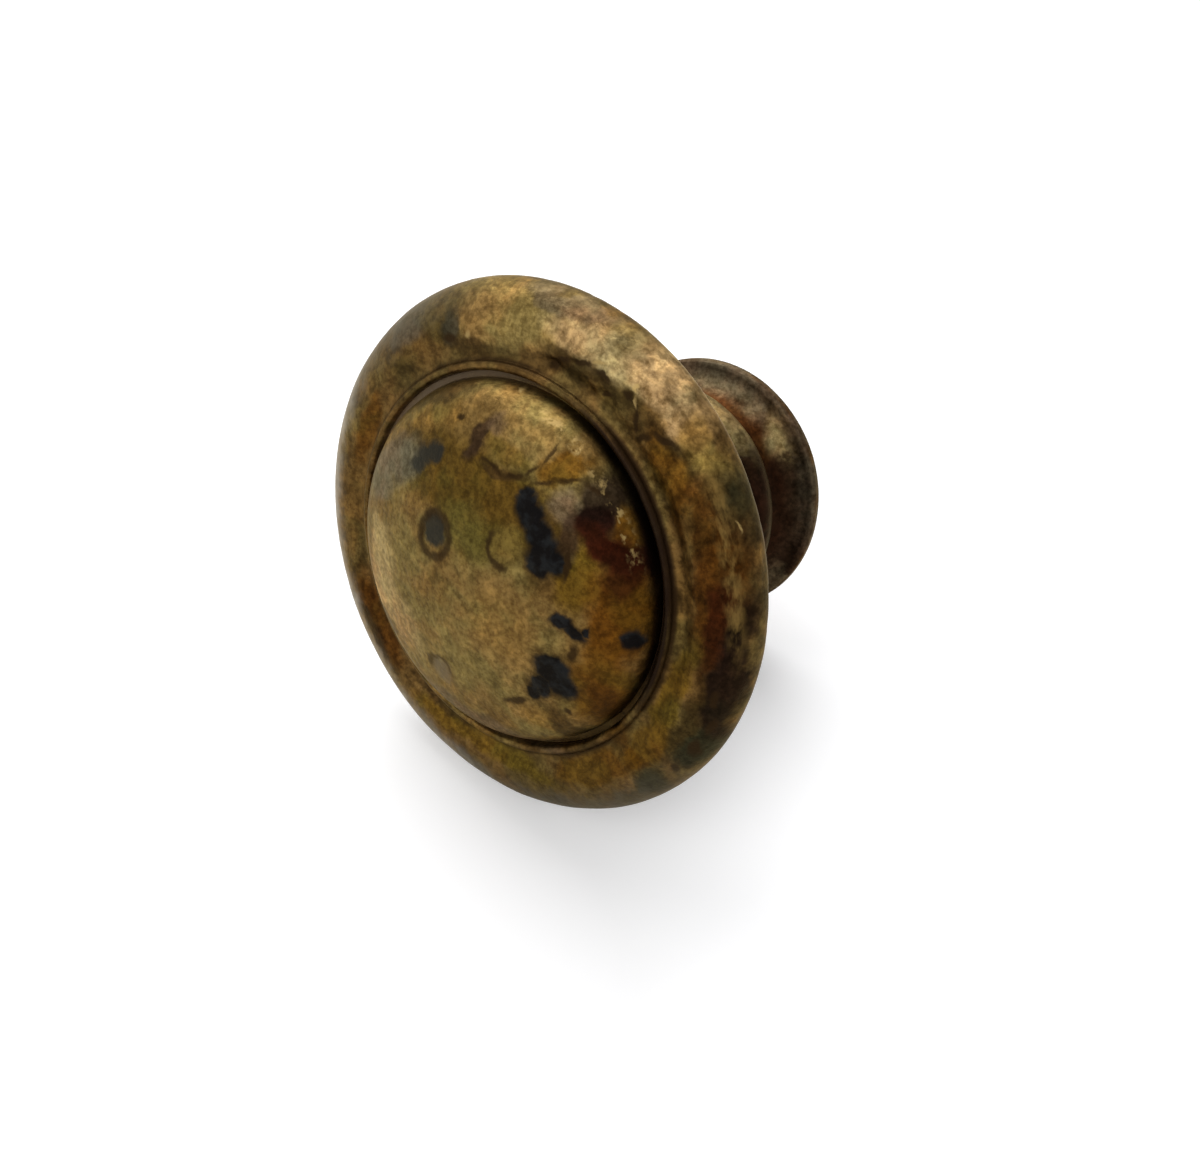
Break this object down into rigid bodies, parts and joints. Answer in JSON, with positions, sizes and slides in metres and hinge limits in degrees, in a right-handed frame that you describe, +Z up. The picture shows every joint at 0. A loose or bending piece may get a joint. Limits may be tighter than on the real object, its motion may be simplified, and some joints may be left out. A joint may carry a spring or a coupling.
{
  "type": "cabinet knob",
  "caption": "Round cabinet knob cast in one piece: a low dome set in a rolled ring, a waisted neck with a collar, and a flared foot with a threaded hole for the fixing screw.",
  "frame": {"origin": "centre of the mounting face, at the mouth of the screw hole", "axes": "+Z up and +X to the right of someone facing the door; the knob's axis lies along Y, with the head towards -Y and the mounting face towards +Y"},
  "size_m": [0.032, 0.0255, 0.032],
  "materials": {
    "brass": "aged and stained, worn satin"
  },
  "bodies": {
    "root": {"knob": "brass"}
  },
  "joints": []
}
